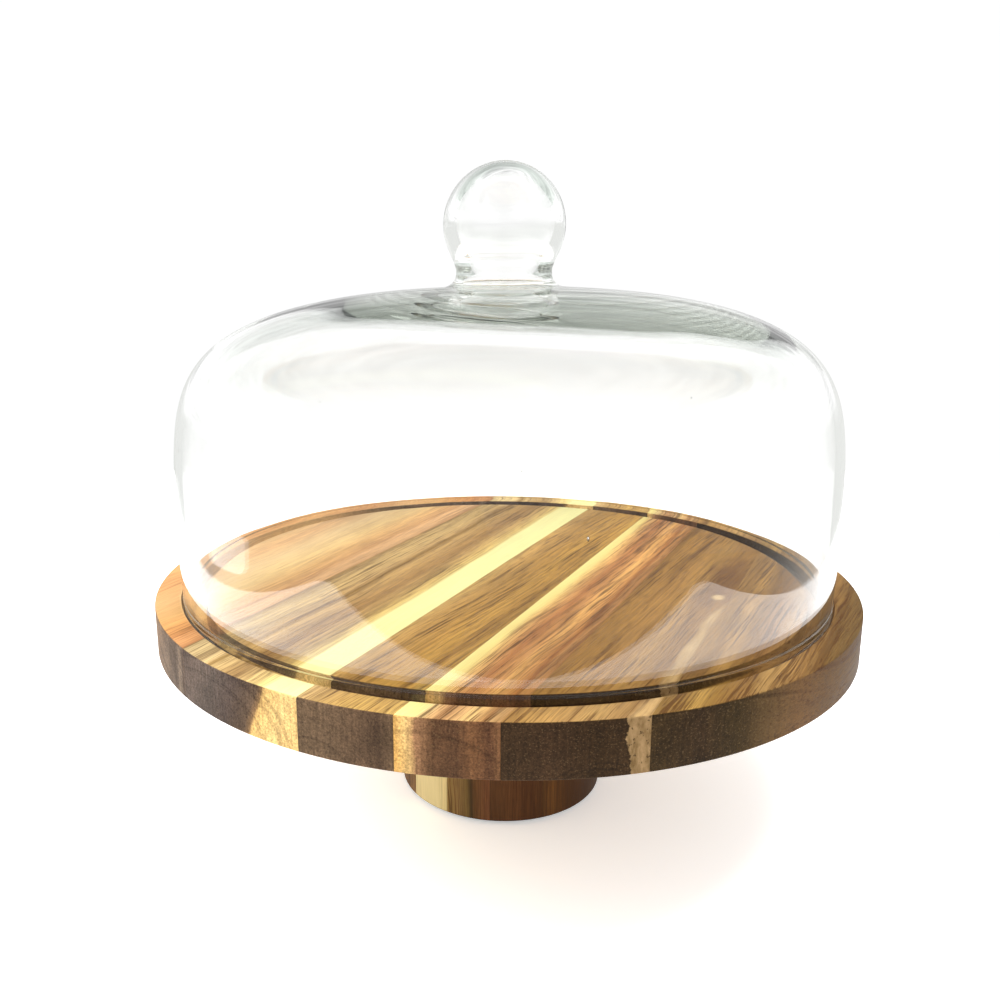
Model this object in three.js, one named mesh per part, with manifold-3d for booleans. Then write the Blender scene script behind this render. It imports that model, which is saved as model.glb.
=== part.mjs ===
// Pedestal stand of edge-glued acacia with a lift-off blown glass dome.
// Millimetres, +Z up. The origin is the centre of the footprint, on the dome's axis.
// The board's staves run along Y and are laid side by side along X.

import * as THREE from 'three';
import { mergeVertices } from 'three/addons/utils/BufferGeometryUtils.js';
import Module from 'manifold-3d';

const wasm = await Module();
wasm.setup();

// ---- Driving dimensions ----

const GAP = 0.3; // clearance between neighbouring solids

const BOARD_RADIUS = 152.5;
const BOARD_THICKNESS = 19.5;
const BOARD_TOP = 102;
const BOARD_BOTTOM = BOARD_TOP - BOARD_THICKNESS;
const BOARD_EASE = 0.8; // softened arris round the top and the underside
const STAVE_EDGES = [-BOARD_RADIUS, -65, -3.6, 30.6, 62.2, 101.4, BOARD_RADIUS];

const GROOVE_OUTER = 141.8; // circular seat for the dome's rim
const GROOVE_INNER = 131.8;
const GROOVE_DEPTH = 6;

const PEDESTAL_RADIUS = 46.6;
const PEDESTAL_EASE = 1;
const BLOCK_THICKNESS = 19.6; // the pedestal is laminated from planks like the board's
const FIRST_BLOCK_EDGE = -24.4;
const BLOCK_EDGES = [-PEDESTAL_RADIUS];
for (let i = 0; i < 4; i++) BLOCK_EDGES.push(FIRST_BLOCK_EDGE + i * BLOCK_THICKNESS);
BLOCK_EDGES.push(PEDESTAL_RADIUS);

const PAD_HEIGHT = 1.5;
const PAD_RADIUS = 5;
const PAD_CIRCLE = 37; // radius of the circle that the pads sit on
const PEDESTAL_BOTTOM = PAD_HEIGHT + GAP;
const PEDESTAL_TOP = BOARD_BOTTOM - GAP;

const BOLT_RADIUS = 4.9; // M10 socket head screw
const BOLT_HEAD_RADIUS = 8;
const BOLT_HEAD_HEIGHT = 10;
const BOLT_END = 94.5;
const SOCKET_RADIUS = 4.6; // to the hexagon's corners
const SOCKET_DEPTH = 5.5;
const BOLT_HOLE_RADIUS = 6;
const COUNTERBORE_RADIUS = 11.5;
const COUNTERBORE_END = 26;
const WASHER_RADIUS = 10.5;
const WASHER_THICKNESS = 2;

const INSERT_RADIUS = 7.5;
const INSERT_LENGTH = 12;
const INSERT_HOLE_RADIUS = INSERT_RADIUS + GAP;
const INSERT_HOLE_END = 96.5;

const DOWEL_RADIUS = 4;
const DOWEL_LENGTH = 29;
const DOWEL_BOTTOM = 67;
const DOWEL_CHAMFER = 1;
const DOWELS = [
  { name: 'dowel_pin_rear', x: -14.6, y: 28 },
  { name: 'dowel_pin_front', x: 24.6, y: -22 },
];

// The dome's outer wall, with heights from the board's top face
const DOME_WALL = 3.6;
const DOME_RIM_RADIUS = 140.9;
const DOME_LEAN = 0.04; // the wall widens a little above the rim, then draws in again
const DOME_BARREL = 0.00065;
const SHOULDER_START = 18;
const DOME_HEIGHT = 127.2;
const SHOULDER_POWER = 6;
const CROWN_POWER = 2.27;
const RIM_OUTER = 141.3; // the rim stands a little proud of the wall
const RIM_BAND_HEIGHT = 0.4;
const RIM_BAND_EASE = 0.8;
const RIM_BEAD_RADIUS = 2.25; // fire-polished lower edge
const RIM_BOTTOM = GAP - GROOVE_DEPTH;
const GATHER_RADIUS = 118; // the crown thickens from the shoulder to the knob
const GATHER_DROP = 6.5;

const KNOB_RADIUS = 25.9;
const KNOB_CENTRE = 152; // heights from the board's top face
const KNOB_ARC_END = THREE.MathUtils.degToRad(-25);
const KNOB_NECK_RADIUS = 20.35;
const KNOB_NECK_HEIGHT = 132.8;
const KNOB_BASE_RADIUS = 24.8;
const KNOB_BASE_EDGE = 0.6;
const KNOB_CAVITY_RADIUS = 20.6;
const KNOB_CAVITY_CENTRE = 152.6;
const KNOB_CAVITY_NECK = 15.6;

const BOARD_SEGMENTS = 80;
const DOME_SEGMENTS = 64;
const KNOB_SEGMENTS = 36;
const SMALL_SEGMENTS = 24;

// ---- Materials ----

function wood(color) {
  return new THREE.MeshStandardMaterial({ color, roughness: 0.5, metalness: 0 });
}

const glass = new THREE.MeshStandardMaterial({
  color: 0xe4ebe4,
  roughness: 0.03,
  metalness: 0,
  transparent: true,
  opacity: 0.3,
});
const zincSteel = new THREE.MeshStandardMaterial({ color: 0xb4b7ba, roughness: 0.35, metalness: 1 });
const brass = new THREE.MeshStandardMaterial({ color: 0xb9974f, roughness: 0.3, metalness: 1 });
const beech = wood(0xc9a878);
const rubber = new THREE.MeshStandardMaterial({ color: 0x2a2928, roughness: 0.85, metalness: 0 });

const STAVE_COLORS = [0xb98a48, 0xa67c45, 0x8f6b3e, 0xa5683e, 0x967048, 0x9b744c];
const BLOCK_COLORS = [0x7a5a38, 0xd9be85, 0x7d6340, 0x6f4326, 0x7b4524];

// ---- Solids ----

// Turns a profile of [radius, height] points about the Z axis.
function turned(profile, segments) {
  const points = profile.map(([radius, height]) => new THREE.Vector2(radius, height));
  const geometry = new THREE.LatheGeometry(points, segments);
  geometry.rotateX(Math.PI / 2);
  return geometry;
}

function toSolid(geometry) {
  const bare = geometry.clone();
  bare.deleteAttribute('normal');
  bare.deleteAttribute('uv');
  const merged = mergeVertices(bare);
  return new wasm.Manifold(new wasm.Mesh({
    numProp: 3,
    vertProperties: new Float32Array(merged.attributes.position.array),
    triVerts: new Uint32Array(merged.index.array),
  }));
}

function toGeometry(solid) {
  const mesh = solid.getMesh();
  const geometry = new THREE.BufferGeometry();
  geometry.setAttribute('position', new THREE.BufferAttribute(mesh.vertProperties, 3));
  geometry.setIndex(new THREE.BufferAttribute(mesh.triVerts, 1));
  geometry.computeVertexNormals();
  return geometry;
}

// A plain round bar between two heights, used for holes.
function bar(radius, low, high, x = 0, y = 0) {
  const geometry = turned([[0, low], [radius, low], [radius, high], [0, high]], SMALL_SEGMENTS);
  geometry.translate(x, y, 0);
  return toSolid(geometry);
}

// The slice of a round solid between two planes of constant X, less half the glue gap on inner sides.
function sliced(solid, low, high, radius) {
  const from = low > -radius ? low + GAP / 2 : low - 1;
  const to = high < radius ? high - GAP / 2 : high + 1;
  const slab = new THREE.BoxGeometry(to - from, 2 * radius + 2, 2 * BOARD_TOP);
  slab.translate((from + to) / 2, 0, BOARD_TOP);
  return solid.intersect(toSolid(slab));
}

const group = new THREE.Group();

function addPiece(name, geometry, material) {
  const mesh = new THREE.Mesh(geometry, material);
  mesh.name = name;
  group.add(mesh);
  return mesh;
}

// ---- Board: staves glued edge to edge, then turned round and grooved ----

function boardDisc() {
  const edge = BOARD_RADIUS - BOARD_EASE;
  const floor = BOARD_TOP - GROOVE_DEPTH;
  const disc = toSolid(turned([
    [0, BOARD_BOTTOM],
    [edge, BOARD_BOTTOM],
    [BOARD_RADIUS, BOARD_BOTTOM + BOARD_EASE],
    [BOARD_RADIUS, BOARD_TOP - BOARD_EASE],
    [edge, BOARD_TOP],
    [GROOVE_OUTER, BOARD_TOP],
    [GROOVE_OUTER, floor],
    [GROOVE_INNER, floor],
    [GROOVE_INNER, BOARD_TOP],
    [0, BOARD_TOP],
  ], BOARD_SEGMENTS));
  const insertHole = bar(INSERT_HOLE_RADIUS, BOARD_BOTTOM - 1, INSERT_HOLE_END);
  return withDowelHoles(disc.subtract(insertHole));
}

function withDowelHoles(solid) {
  const low = DOWEL_BOTTOM - GAP;
  const high = DOWEL_BOTTOM + DOWEL_LENGTH + GAP;
  return DOWELS.reduce(
    (rest, { x, y }) => rest.subtract(bar(DOWEL_RADIUS + GAP, low, high, x, y)),
    solid,
  );
}

function addBoard() {
  const disc = boardDisc();
  STAVE_COLORS.forEach((color, i) => {
    const stave = sliced(disc, STAVE_EDGES[i], STAVE_EDGES[i + 1], BOARD_RADIUS);
    addPiece(`board_stave_${i + 1}`, toGeometry(stave), wood(color));
  });
}

// ---- Pedestal: upright laminated blocks, turned to a cylinder and bored for the bolt ----

function pedestalCylinder() {
  const edge = PEDESTAL_RADIUS - PEDESTAL_EASE;
  const solid = toSolid(turned([
    [0, PEDESTAL_BOTTOM],
    [edge, PEDESTAL_BOTTOM],
    [PEDESTAL_RADIUS, PEDESTAL_BOTTOM + PEDESTAL_EASE],
    [PEDESTAL_RADIUS, PEDESTAL_TOP],
    [0, PEDESTAL_TOP],
  ], BOARD_SEGMENTS));
  const bolt = bar(BOLT_HOLE_RADIUS, 0, BOARD_TOP);
  const counterbore = bar(COUNTERBORE_RADIUS, 0, COUNTERBORE_END);
  return withDowelHoles(solid.subtract(bolt).subtract(counterbore));
}

function addPedestal() {
  const cylinder = pedestalCylinder();
  BLOCK_COLORS.forEach((color, i) => {
    const block = sliced(cylinder, BLOCK_EDGES[i], BLOCK_EDGES[i + 1], PEDESTAL_RADIUS);
    addPiece(`pedestal_block_${i + 1}`, toGeometry(block), wood(color));
  });
}

// ---- Fixings inside the stand ----

function addBolt() {
  const seat = COUNTERBORE_END - WASHER_THICKNESS - 2 * GAP;
  const headBottom = seat - BOLT_HEAD_HEIGHT;
  const body = toSolid(turned([
    [0, headBottom],
    [BOLT_HEAD_RADIUS - 0.6, headBottom],
    [BOLT_HEAD_RADIUS, headBottom + 0.6],
    [BOLT_HEAD_RADIUS, seat],
    [BOLT_RADIUS, seat],
    [BOLT_RADIUS, BOLT_END - 1],
    [BOLT_RADIUS - 1, BOLT_END],
    [0, BOLT_END],
  ], SMALL_SEGMENTS));
  const socket = new THREE.CylinderGeometry(SOCKET_RADIUS, SOCKET_RADIUS, 2 * SOCKET_DEPTH, 6);
  socket.rotateX(Math.PI / 2);
  socket.translate(0, 0, headBottom);
  addPiece('pedestal_bolt', toGeometry(body.subtract(toSolid(socket))), zincSteel);
}

function ring(inner, outer, low, high) {
  return turned([[inner, low], [outer, low], [outer, high], [inner, high], [inner, low]], SMALL_SEGMENTS);
}

function addWasher() {
  const top = COUNTERBORE_END - GAP;
  const washer = ring(BOLT_RADIUS + GAP, WASHER_RADIUS, top - WASHER_THICKNESS, top);
  addPiece('bolt_washer', washer, zincSteel);
}

// The insert's outside has coarse ridges that bite into the wood.
function addInsert() {
  const low = BOARD_BOTTOM + GAP;
  const ridges = 4;
  const pitch = INSERT_LENGTH / ridges;
  const profile = [[BOLT_RADIUS + GAP, low]];
  for (let i = 0; i < ridges; i++) {
    profile.push([INSERT_RADIUS - 1, low + i * pitch]);
    profile.push([INSERT_RADIUS, low + (i + 0.5) * pitch]);
  }
  profile.push([INSERT_RADIUS - 1, low + INSERT_LENGTH]);
  profile.push([BOLT_RADIUS + GAP, low + INSERT_LENGTH]);
  profile.push([BOLT_RADIUS + GAP, low]);
  addPiece('threaded_insert', turned(profile, SMALL_SEGMENTS), brass);
}

function addDowels() {
  const end = DOWEL_RADIUS - DOWEL_CHAMFER;
  for (const { name, x, y } of DOWELS) {
    const dowel = addPiece(name, turned([
      [0, 0],
      [end, 0],
      [DOWEL_RADIUS, DOWEL_CHAMFER],
      [DOWEL_RADIUS, DOWEL_LENGTH - DOWEL_CHAMFER],
      [end, DOWEL_LENGTH],
      [0, DOWEL_LENGTH],
    ], SMALL_SEGMENTS), beech);
    dowel.position.set(x, y, DOWEL_BOTTOM);
  }
}

function addPads() {
  for (let i = 0; i < 4; i++) {
    const angle = Math.PI / 4 + (i * Math.PI) / 2;
    const pad = addPiece(`foot_pad_${i + 1}`, turned([
      [0, 0],
      [PAD_RADIUS - 0.8, 0],
      [PAD_RADIUS, 0.7],
      [PAD_RADIUS, PAD_HEIGHT],
      [0, PAD_HEIGHT],
    ], SMALL_SEGMENTS), rubber);
    pad.position.set(PAD_CIRCLE * Math.cos(angle), PAD_CIRCLE * Math.sin(angle), 0);
  }
}

// ---- Glass dome ----

// Radius of the dome at a height above the board; inset shrinks it evenly for the inner wall.
function domeRadius(height, inset = 0) {
  const wall = DOME_RIM_RADIUS - inset + DOME_LEAN * height - DOME_BARREL * height * height;
  const rise = Math.max(0, height - SHOULDER_START) / (DOME_HEIGHT - inset - SHOULDER_START);
  return wall * Math.max(0, 1 - rise ** SHOULDER_POWER) ** (1 / CROWN_POWER);
}

// Points from the crown down to a height near the rim.
function domeSide(inset, low, wallSteps, shoulderSteps) {
  const top = DOME_HEIGHT - inset;
  const points = [];
  for (let i = shoulderSteps; i > 0; i--) {
    const turn = (i / shoulderSteps) * (Math.PI / 2);
    const height = SHOULDER_START + (top - SHOULDER_START) * Math.sin(turn);
    points.push([i === shoulderSteps ? 0 : domeRadius(height, inset), height]);
  }
  for (let i = wallSteps; i >= 0; i--) {
    const height = low + ((SHOULDER_START - low) * i) / wallSteps;
    points.push([domeRadius(height, inset), height]);
  }
  return points;
}

// Extra thickness under the crown, most where the knob was joined.
function gatherDrop(radius) {
  if (radius >= GATHER_RADIUS) return 0;
  return (GATHER_DROP * (1 + Math.cos((Math.PI * radius) / GATHER_RADIUS))) / 2;
}

// The thicker rim: a short upright band over a rounded lower edge.
function rimBand() {
  const centreRadius = RIM_OUTER - RIM_BEAD_RADIUS;
  const centreHeight = RIM_BOTTOM + RIM_BEAD_RADIUS;
  const points = [[RIM_OUTER, RIM_BAND_HEIGHT]];
  for (let degrees = 0; degrees >= -200; degrees -= 40) {
    const angle = THREE.MathUtils.degToRad(degrees);
    points.push([
      centreRadius + RIM_BEAD_RADIUS * Math.cos(angle),
      centreHeight + RIM_BEAD_RADIUS * Math.sin(angle),
    ]);
  }
  return points;
}

function addDomeShell() {
  const outside = domeSide(0, RIM_BAND_HEIGHT + RIM_BAND_EASE, 2, 15);
  const inside = domeSide(DOME_WALL, RIM_BOTTOM + 2 * RIM_BEAD_RADIUS, 2, 12)
    .map(([radius, height]) => [radius, height - gatherDrop(radius)])
    .reverse();
  const profile = [...outside, ...rimBand(), ...inside].reverse();
  const shell = addPiece('dome_shell', turned(profile, DOME_SEGMENTS), glass);
  shell.position.z = BOARD_TOP;
}

// ---- Hollow glass knob ----

function knobOutside() {
  const points = [];
  const steps = 12;
  for (let i = 0; i <= steps; i++) {
    const angle = Math.PI / 2 + (KNOB_ARC_END - Math.PI / 2) * (i / steps);
    const radius = i === 0 ? 0 : KNOB_RADIUS * Math.cos(angle);
    points.push([radius, KNOB_CENTRE + KNOB_RADIUS * Math.sin(angle)]);
  }
  const end = new THREE.Vector2(...points.at(-1));
  const along = new THREE.Vector2(Math.sin(KNOB_ARC_END), -Math.cos(KNOB_ARC_END));
  const neck = new THREE.Vector2(KNOB_NECK_RADIUS, KNOB_NECK_HEIGHT);
  const base = new THREE.Vector2(KNOB_BASE_RADIUS, DOME_HEIGHT + GAP + KNOB_BASE_EDGE);
  const waist = new THREE.CubicBezierCurve(
    end,
    end.clone().addScaledVector(along, 3.2),
    new THREE.Vector2(neck.x, neck.y + 2.6),
    neck,
  );
  const flare = new THREE.CubicBezierCurve(
    neck,
    new THREE.Vector2(neck.x, neck.y - 2.4),
    new THREE.Vector2(base.x - 2.6, base.y + 0.4),
    base,
  );
  for (const curve of [waist, flare]) {
    for (const point of curve.getPoints(4).slice(1)) points.push([point.x, point.y]);
  }
  points.push([KNOB_BASE_RADIUS, DOME_HEIGHT + GAP]);
  return points;
}

// The cavity narrows to the neck and opens on the crown.
function knobCavity() {
  const neckAngle = -Math.acos(KNOB_CAVITY_NECK / KNOB_CAVITY_RADIUS);
  const points = [[KNOB_CAVITY_NECK, DOME_HEIGHT + GAP]];
  const steps = 10;
  for (let i = 0; i <= steps; i++) {
    const angle = neckAngle + (Math.PI / 2 - neckAngle) * (i / steps);
    const radius = i === steps ? 0 : KNOB_CAVITY_RADIUS * Math.cos(angle);
    points.push([radius, KNOB_CAVITY_CENTRE + KNOB_CAVITY_RADIUS * Math.sin(angle)]);
  }
  return points;
}

function addKnob() {
  const profile = [...knobOutside(), ...knobCavity()].reverse();
  const knob = addPiece('dome_knob', turned(profile, KNOB_SEGMENTS), glass);
  knob.position.z = BOARD_TOP;
}

addBoard();
addPedestal();
addBolt();
addWasher();
addInsert();
addDowels();
addPads();
addDomeShell();
addKnob();

export default group;
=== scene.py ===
"""Looks for the glass dome on its acacia pedestal stand. Metres, +Z up, grain of the board along Y."""
import math
import random

import bmesh
import bpy
from mathutils import Matrix, Vector, noise


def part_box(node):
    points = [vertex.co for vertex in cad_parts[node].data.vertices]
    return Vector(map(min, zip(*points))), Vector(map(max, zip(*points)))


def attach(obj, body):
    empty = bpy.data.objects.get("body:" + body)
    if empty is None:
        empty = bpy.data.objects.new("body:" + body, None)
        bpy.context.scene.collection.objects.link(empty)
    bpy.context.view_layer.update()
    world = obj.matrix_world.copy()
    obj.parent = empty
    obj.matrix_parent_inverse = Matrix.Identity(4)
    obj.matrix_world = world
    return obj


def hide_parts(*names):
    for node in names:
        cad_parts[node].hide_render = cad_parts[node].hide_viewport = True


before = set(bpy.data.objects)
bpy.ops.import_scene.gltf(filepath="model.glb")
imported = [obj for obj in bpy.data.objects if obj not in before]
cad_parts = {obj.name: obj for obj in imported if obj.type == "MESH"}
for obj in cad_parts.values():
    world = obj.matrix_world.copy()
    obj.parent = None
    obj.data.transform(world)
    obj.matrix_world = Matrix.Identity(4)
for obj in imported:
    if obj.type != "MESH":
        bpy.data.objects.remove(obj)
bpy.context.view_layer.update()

MM = 0.001

# ---------------------------------------------------------------------------
# Places taken from the frame
# ---------------------------------------------------------------------------
STAVES = [f"board_stave_{i}" for i in range(1, 7)]
BLOCKS = [f"pedestal_block_{i}" for i in range(1, 6)]
PADS = [f"foot_pad_{i}" for i in range(1, 5)]
HALF_GLUE = 0.15 * MM  # the frame leaves this much on each side of a glue line

stave_boxes = {name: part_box(name) for name in STAVES}
block_boxes = {name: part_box(name) for name in BLOCKS}
BOARD_BOTTOM = stave_boxes[STAVES[2]][0][2]
BOARD_TOP = stave_boxes[STAVES[2]][1][2]
BOARD_RADIUS = stave_boxes[STAVES[2]][1][1]
PEDESTAL_BOTTOM = block_boxes[BLOCKS[2]][0][2]
PEDESTAL_TOP = block_boxes[BLOCKS[2]][1][2]
PEDESTAL_RADIUS = block_boxes[BLOCKS[2]][1][1]
RIM_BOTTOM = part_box("dome_shell")[0][2]
DOME_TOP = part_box("dome_shell")[1][2]
KNOB_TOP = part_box("dome_knob")[1][2]
KNOB_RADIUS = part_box("dome_knob")[1][0]
INSERT_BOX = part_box("threaded_insert")
BOLT_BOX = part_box("pedestal_bolt")
WASHER_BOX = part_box("bolt_washer")

GROOVE_OUTER = 141.8 * MM
GROOVE_INNER = 131.8 * MM
GROOVE_DEPTH = 6 * MM


# ---------------------------------------------------------------------------
# Mesh helpers
# ---------------------------------------------------------------------------
ON_AXIS = 0.0001 * MM
SLIVER = 0.001 * MM
BORE_SEGMENTS = 64
WOOD_SMOOTH_ANGLE = 35


def mesh_object(name, bm, smooth_angle=None):
    """Turns a bmesh into a named object; edges sharper than smooth_angle (degrees) stay sharp."""
    mesh = bpy.data.meshes.new(name)
    bm.to_mesh(mesh)
    bm.free()
    obj = bpy.data.objects.new(name, mesh)
    bpy.context.scene.collection.objects.link(obj)
    if smooth_angle is not None:
        mesh.polygons.foreach_set("use_smooth", [True] * len(mesh.polygons))
        mesh.set_sharp_from_angle(angle=math.radians(smooth_angle))
    return obj


def revolve(bm, profile, segments, shift=None):
    """Adds the surface that an open or closed [radius, height] profile sweeps round Z.

    A point on the axis becomes one vertex. shift(radius, height, angle) gives a small radial and
    vertical move, which makes hand-formed glass uneven.
    """
    rings = []
    for radius, height in profile:
        if radius < ON_AXIS:
            move = shift(0, height, 0) if shift else (0, 0)
            rings.append([bm.verts.new((0, 0, height + move[1]))])
            continue
        ring = []
        for i in range(segments):
            angle = 2 * math.pi * i / segments
            move = shift(radius, height, angle) if shift else (0, 0)
            r = radius + move[0]
            ring.append(bm.verts.new((r * math.cos(angle), r * math.sin(angle), height + move[1])))
        rings.append(ring)
    join_rings(bm, rings, segments)


def join_rings(bm, rings, segments):
    """Skins neighbouring rings with quads, or with triangles where one ring is a single vertex."""
    for a, b in zip(rings, rings[1:]):
        for i in range(segments):
            j = (i + 1) % segments
            face = list(dict.fromkeys([a[i % len(a)], a[j % len(a)], b[j % len(b)], b[i % len(b)]]))
            if len(face) > 2:
                bm.faces.new(face)


def turned(name, profile, segments):
    bm = bmesh.new()
    revolve(bm, profile, segments)
    bmesh.ops.recalc_face_normals(bm, faces=bm.faces)
    return mesh_object(name, bm, WOOD_SMOOTH_ANGLE)


def arc(centre, radius, start, end, steps):
    """Points of a circular arc in the profile plane; angles in degrees."""
    points = []
    for i in range(steps + 1):
        a = math.radians(start + (end - start) * i / steps)
        points.append((centre[0] + radius * math.cos(a), centre[1] + radius * math.sin(a)))
    return points


def bezier(p0, p1, p2, p3, steps):
    """Points of a cubic curve, without its first point."""
    points = []
    for i in range(1, steps + 1):
        t = i / steps
        k = [(1 - t) ** 3, 3 * t * (1 - t) ** 2, 3 * t * t * (1 - t), t ** 3]
        points.append(tuple(sum(w * p[axis] for w, p in zip(k, (p0, p1, p2, p3))) for axis in (0, 1)))
    return points


def boolean(obj, tool, operation):
    """Applies a boolean with another object to obj's mesh."""
    modifier = obj.modifiers.new("cut", "BOOLEAN")
    modifier.operation = operation
    modifier.solver = "EXACT"
    modifier.object = tool
    depsgraph = bpy.context.evaluated_depsgraph_get()
    result = bpy.data.meshes.new_from_object(obj.evaluated_get(depsgraph))
    obj.modifiers.remove(modifier)
    obj.data = result


def clean(mesh):
    """Splits the many-sided faces that cutting leaves and drops their slivers."""
    bm = bmesh.new()
    bm.from_mesh(mesh)
    bmesh.ops.dissolve_degenerate(bm, dist=SLIVER, edges=bm.edges)
    bmesh.ops.triangulate(bm, faces=[f for f in bm.faces if len(f.verts) > 4])
    bmesh.ops.dissolve_degenerate(bm, dist=SLIVER, edges=bm.edges)
    bm.to_mesh(mesh)
    bm.free()


def discard(obj):
    bpy.data.objects.remove(obj, do_unlink=True)


def bar(radius, low, high, x=0.0, y=0.0):
    tool = turned("tool", [(0, low), (radius, low), (radius, high), (0, high)], BORE_SEGMENTS)
    tool.data.transform(Matrix.Translation((x, y, 0)))
    return tool


def slab(low, high):
    """A box that keeps what lies between two planes of constant X."""
    bm = bmesh.new()
    bmesh.ops.create_cube(bm, size=1)
    for v in bm.verts:
        v.co = Vector((low if v.co.x < 0 else high, v.co.y * 0.4, v.co.z * 0.4 + 0.1))
    return mesh_object("slab", bm)


# ---------------------------------------------------------------------------
# Node helpers
# ---------------------------------------------------------------------------
def srgb(code):
    """Linear colour of a hex code."""
    channels = [int(code[i:i + 2], 16) / 255 for i in (0, 2, 4)]
    return [c / 12.92 if c <= 0.04045 else ((c + 0.055) / 1.055) ** 2.4 for c in channels]


class Graph:
    """Short calls for making shader nodes."""

    def __init__(self, tree):
        self.tree = tree
        self.nodes = tree.nodes
        tree.nodes.clear()

    def node(self, kind, values=None, **settings):
        made = self.nodes.new(kind)
        for key, value in settings.items():
            setattr(made, key, value)
        for key, value in (values or {}).items():
            self.feed(made.inputs[key], value)
        return made

    def feed(self, socket, value):
        if isinstance(value, bpy.types.NodeSocket):
            self.tree.links.new(value, socket)
        else:
            socket.default_value = value

    def math(self, operation, a, b=0.0, clamp=False):
        return self.node("ShaderNodeMath", {0: a, 1: b}, operation=operation, use_clamp=clamp).outputs[0]

    def hypot(self, a, b):
        return self.math("SQRT", self.math("ADD", self.math("MULTIPLY", a, a), self.math("MULTIPLY", b, b)))

    def dot(self, a, b):
        return self.node("ShaderNodeVectorMath", {0: a, 1: b}, operation="DOT_PRODUCT").outputs["Value"]

    def remap(self, value, low, high, to_low=0.0, to_high=1.0, smooth=False):
        kind = "SMOOTHSTEP" if smooth else "LINEAR"
        values = {"Value": value, "From Min": low, "From Max": high, "To Min": to_low, "To Max": to_high}
        return self.node("ShaderNodeMapRange", values, interpolation_type=kind).outputs["Result"]

    def xyz(self, x, y, z):
        return self.node("ShaderNodeCombineXYZ", {"X": x, "Y": y, "Z": z}).outputs[0]

    def scaled(self, vector, scale, offset=(0, 0, 0)):
        values = {"Vector": vector, "Scale": scale, "Location": offset}
        return self.node("ShaderNodeMapping", values).outputs[0]

    def noise(self, vector, detail=2.0, roughness=0.5, distortion=0.0):
        values = {"Vector": vector, "Scale": 1.0, "Detail": detail, "Roughness": roughness,
                  "Distortion": distortion}
        return self.node("ShaderNodeTexNoise", values).outputs["Fac"]

    def ramp(self, factor, stops):
        made = self.node("ShaderNodeValToRGB", {"Fac": factor})
        elements = made.color_ramp.elements
        while len(elements) < len(stops):
            elements.new(0.5)
        for element, (place, color) in zip(elements, stops):
            element.position = place
            element.color = (*color[:3], 1)
        return made.outputs["Color"]

    def mix(self, factor, a, b, blend="MIX"):
        made = self.node("ShaderNodeMix", data_type="RGBA", blend_type=blend)
        self.feed(made.inputs[0], factor)
        self.feed(made.inputs[6], a if isinstance(a, bpy.types.NodeSocket) else (*a[:3], 1))
        self.feed(made.inputs[7], b if isinstance(b, bpy.types.NodeSocket) else (*b[:3], 1))
        return made.outputs[2]

    def grey(self, value):
        return self.xyz(value, value, value)

    def bump(self, height, distance, strength=1.0, normal=None):
        values = {"Height": height, "Distance": distance, "Strength": strength}
        made = self.node("ShaderNodeBump", values)
        if normal is not None:
            self.feed(made.inputs["Normal"], normal)
        return made.outputs["Normal"]


def material(name):
    made = bpy.data.materials.new(name)
    made.use_nodes = True
    return made, Graph(made.node_tree)


def finish_surface(graph, shader, volume=None):
    out = graph.node("ShaderNodeOutputMaterial")
    graph.feed(out.inputs["Surface"], shader)
    if volume is not None:
        graph.feed(out.inputs["Volume"], volume)


# ---------------------------------------------------------------------------
# Acacia
# ---------------------------------------------------------------------------
FACE_GAIN = 0.62  # face-grain stops are written as seen in strong light
END_GAIN = 0.66


def stops_between(places, low, high, gain):
    """Colour stops given as (millimetres, hex), as places from 0 to 1 between low and high."""
    return [((x * MM - low) / (high - low), [gain * c for c in srgb(code)]) for x, code in places]


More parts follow.
